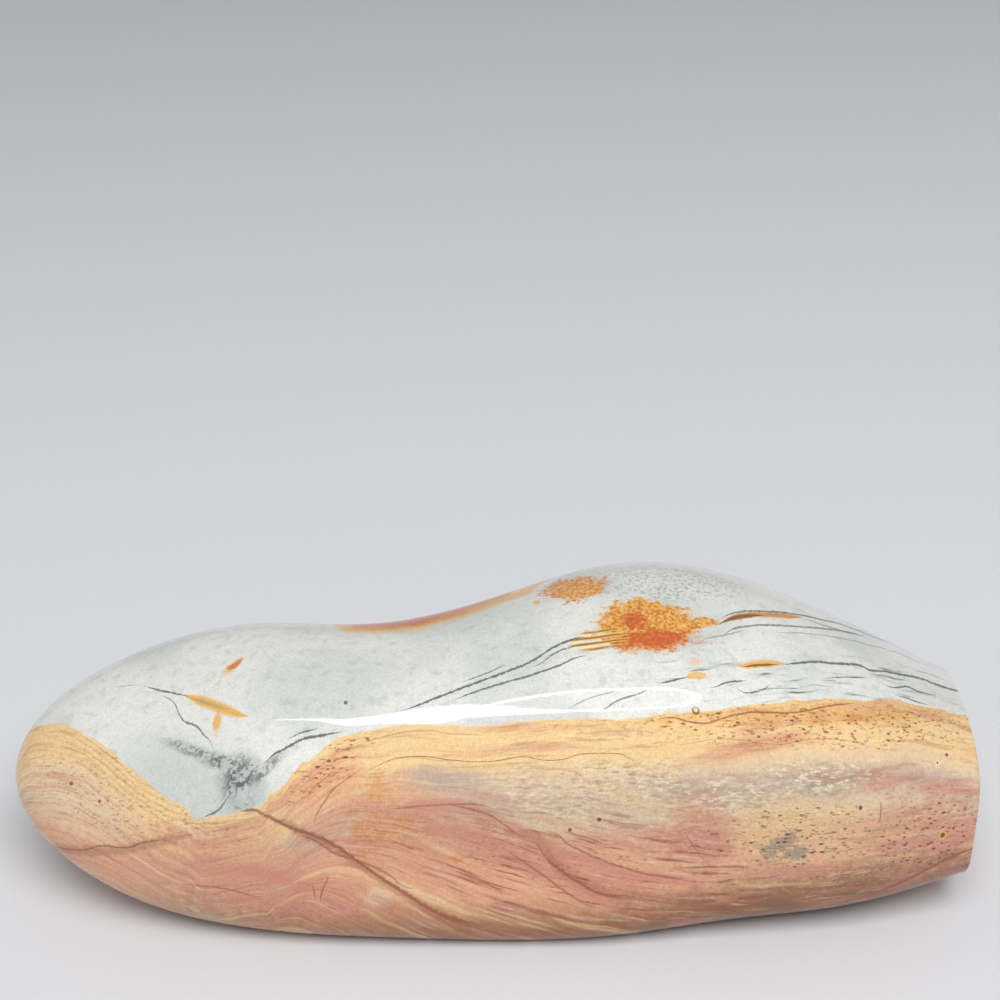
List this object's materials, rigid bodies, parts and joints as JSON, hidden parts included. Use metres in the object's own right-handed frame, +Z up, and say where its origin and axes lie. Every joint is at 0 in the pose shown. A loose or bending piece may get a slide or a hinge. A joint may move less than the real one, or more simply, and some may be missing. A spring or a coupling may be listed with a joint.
{
  "type": "polished jasper freeform",
  "caption": "Long polished polychrome jasper freeform with a rounded nose, a waist, an off-centre hump, a sawn flat end and a small ground flat to rest on.",
  "frame": {"origin": "middle of the bounding box's foot, on the surface the stone lies on", "axes": "+X along the stone towards its sawn end, +Y away from the steep near side, +Z up"},
  "size_m": [0.1942, 0.0769, 0.0572],
  "materials": {
    "jasper": "high polish"
  },
  "bodies": {
    "root": {"stone": "jasper"}
  },
  "joints": []
}
